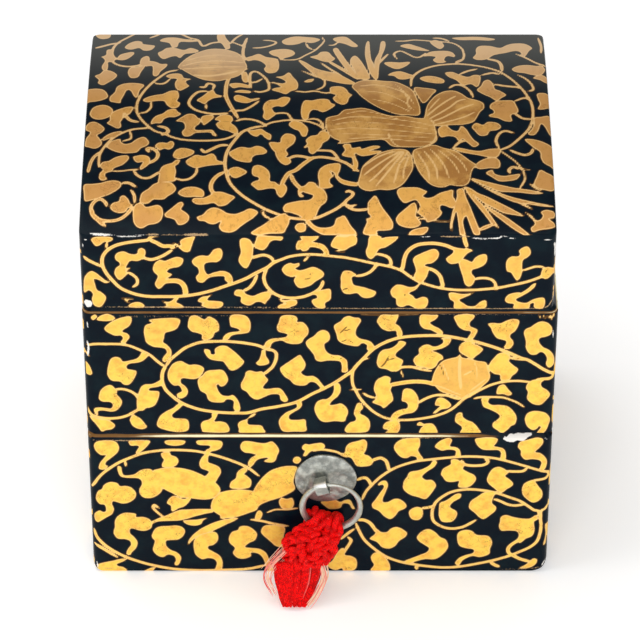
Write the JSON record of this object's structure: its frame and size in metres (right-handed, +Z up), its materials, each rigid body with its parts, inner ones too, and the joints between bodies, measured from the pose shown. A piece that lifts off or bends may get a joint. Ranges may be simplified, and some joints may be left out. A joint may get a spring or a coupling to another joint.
{
  "type": "lacquer stacking box",
  "caption": "Small black lacquer stacking box with an arched lid over stacked tiers, painted gold vines, a pewter ring pull and a red silk tassel.",
  "frame": {"origin": "on the flat underside of the bottom tier, at the centre of its footprint", "axes": "+X to the right along the width, seen from the front; +Y from the front, with the pull, to the back; +Z up"},
  "size_m": [0.1, 0.0837, 0.0982],
  "materials": {
    "black_lacquer": "glossy blue-black lacquer on thin wood, painted with a gold leaf and vine pattern, gilded rims",
    "grey_metal": "dull pewter grey, pitted and rubbed bright on its edges",
    "red_silk": "twisted red silk cord, frayed to pale ends"
  },
  "bodies": {
    "root": {"bottom_tier": "black_lacquer", "middle_tier": "black_lacquer", "lid": "black_lacquer", "pull_plate": "grey_metal", "pull_staple": "grey_metal", "pull_ring": "grey_metal", "tassel": "red_silk"}
  },
  "joints": []
}
